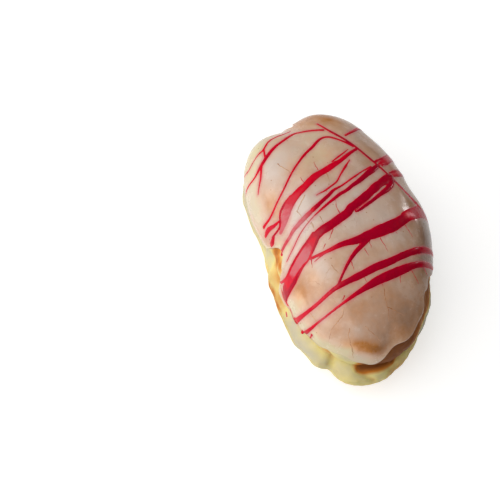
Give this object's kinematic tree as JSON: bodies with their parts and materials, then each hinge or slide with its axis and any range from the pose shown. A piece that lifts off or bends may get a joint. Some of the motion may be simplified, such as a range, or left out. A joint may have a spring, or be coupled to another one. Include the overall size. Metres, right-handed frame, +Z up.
{
  "type": "filled doughnut",
  "caption": "Oblong filled doughnut: soft fried dough, browned on top with a pale band round the sides, under a thin sugar icing crossed by a poured red drizzle.",
  "frame": {"origin": "middle of the whole box on the surface that the doughnut rests on", "axes": "+X along the doughnut towards its narrower end, +Z up"},
  "size_m": [0.1183, 0.0733, 0.0438],
  "materials": {
    "dough": "soft fried crust, brown above and below, pale cream band between",
    "icing": "thin half-clear sugar icing, glossy, with fine cracks",
    "drizzle": "poured red icing, glossy, pink where it is thin"
  },
  "bodies": {
    "root": {"dough": "dough", "icing": "icing"}
  },
  "joints": []
}
